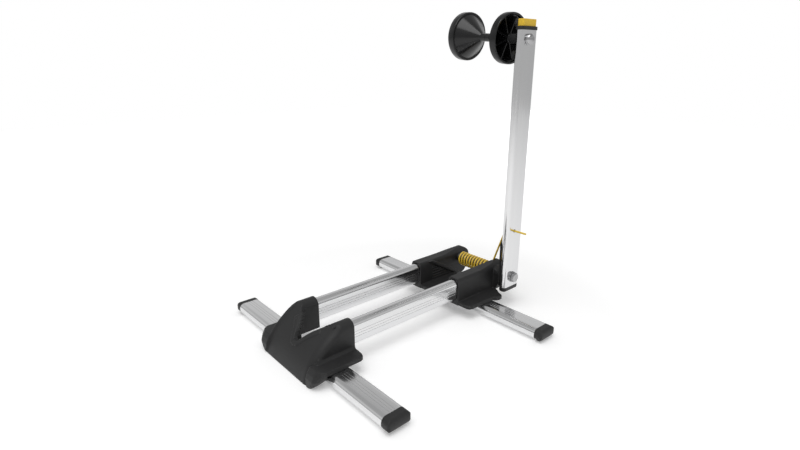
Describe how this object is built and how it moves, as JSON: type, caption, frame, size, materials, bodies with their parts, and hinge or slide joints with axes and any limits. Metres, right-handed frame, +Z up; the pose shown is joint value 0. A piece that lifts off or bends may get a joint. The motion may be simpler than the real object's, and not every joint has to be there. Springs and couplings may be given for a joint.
{
  "type": "floor bike rack",
  "caption": "Floor bike rack with rails between low feet, a notched front bracket and a sprung arm that leans back and holds the wheel with a twin-cone roller.",
  "frame": {"origin": "middle of the bounding box, on the floor", "axes": "+X to the right along the feet, towards the arm's side; +Y back along the rails, from the notched front bracket to the hinge; +Z up"},
  "size_m": [0.364, 0.3976, 0.441],
  "materials": {
    "satin_aluminium": "satin anodised extrusion",
    "black_plastic": "fine-textured moulding",
    "roller_plastic": "satin-gloss moulding",
    "yellow_paint": "yellow coated spring wire",
    "yellow_plastic": "smooth yellow moulding",
    "zinc_steel": "zinc plated",
    "black_steel": "blackened steel"
  },
  "bodies": {
    "base": {"foot_tube_front_left": "satin_aluminium", "foot_tube_front_right": "satin_aluminium", "foot_tube_rear": "satin_aluminium", "foot_cap_front_left": "black_plastic", "foot_cap_front_right": "black_plastic", "foot_cap_rear_left": "black_plastic", "foot_cap_rear_right": "black_plastic", "rail_left": "satin_aluminium", "rail_right": "satin_aluminium", "front_bracket": "black_plastic", "rear_bracket": "black_plastic", "foot_screw_front_left": "zinc_steel", "foot_screw_front_right": "zinc_steel", "foot_screw_rear_left": "zinc_steel", "foot_screw_rear_right": "zinc_steel", "rail_screw_front_left": "zinc_steel", "rail_screw_front_right": "zinc_steel", "rail_screw_rear_left": "zinc_steel", "rail_screw_rear_right": "zinc_steel", "hinge_bolt": "zinc_steel", "hinge_nut": "black_steel", "hinge_sleeve": "black_steel", "hinge_washer_outer": "zinc_steel", "hinge_washer_inner": "zinc_steel", "torsion_spring": "yellow_paint"},
    "arm": {"arm_tube": "satin_aluminium", "arm_inner_plate": "black_plastic", "arm_bottom_cap": "black_plastic", "arm_top_cap": "black_plastic", "arm_top_plug": "yellow_plastic", "arm_bush": "zinc_steel", "roller_axle": "zinc_steel", "roller_spacer": "black_plastic", "roller_nut": "zinc_steel"},
    "cone_left": {"roller_cone_left": "roller_plastic"},
    "cone_right": {"roller_cone_right": "roller_plastic"}
  },
  "joints": [
    {"name": "arm_lean", "type": "hinge", "parent": "base", "child": "arm", "pos_m": [0.0745, 0.1582, 0.0495], "axis": [-1, 0, 0], "range_deg": [0, 45], "stiffness_Nm_per_rad": 2.5, "springref_deg": -57.3, "deforming": ["torsion_spring"]},
    {"name": "cone_left_spin", "type": "hinge", "parent": "arm", "child": "cone_left", "pos_m": [-0.0199, 0.16278, 0.40534], "axis": [0.995, -0.0783, -0.0628], "continuous": true},
    {"name": "cone_right_spin", "type": "hinge", "parent": "arm", "child": "cone_right", "pos_m": [0.0199, 0.15965, 0.40283], "axis": [0.995, -0.0783, -0.0628], "continuous": true}
  ]
}
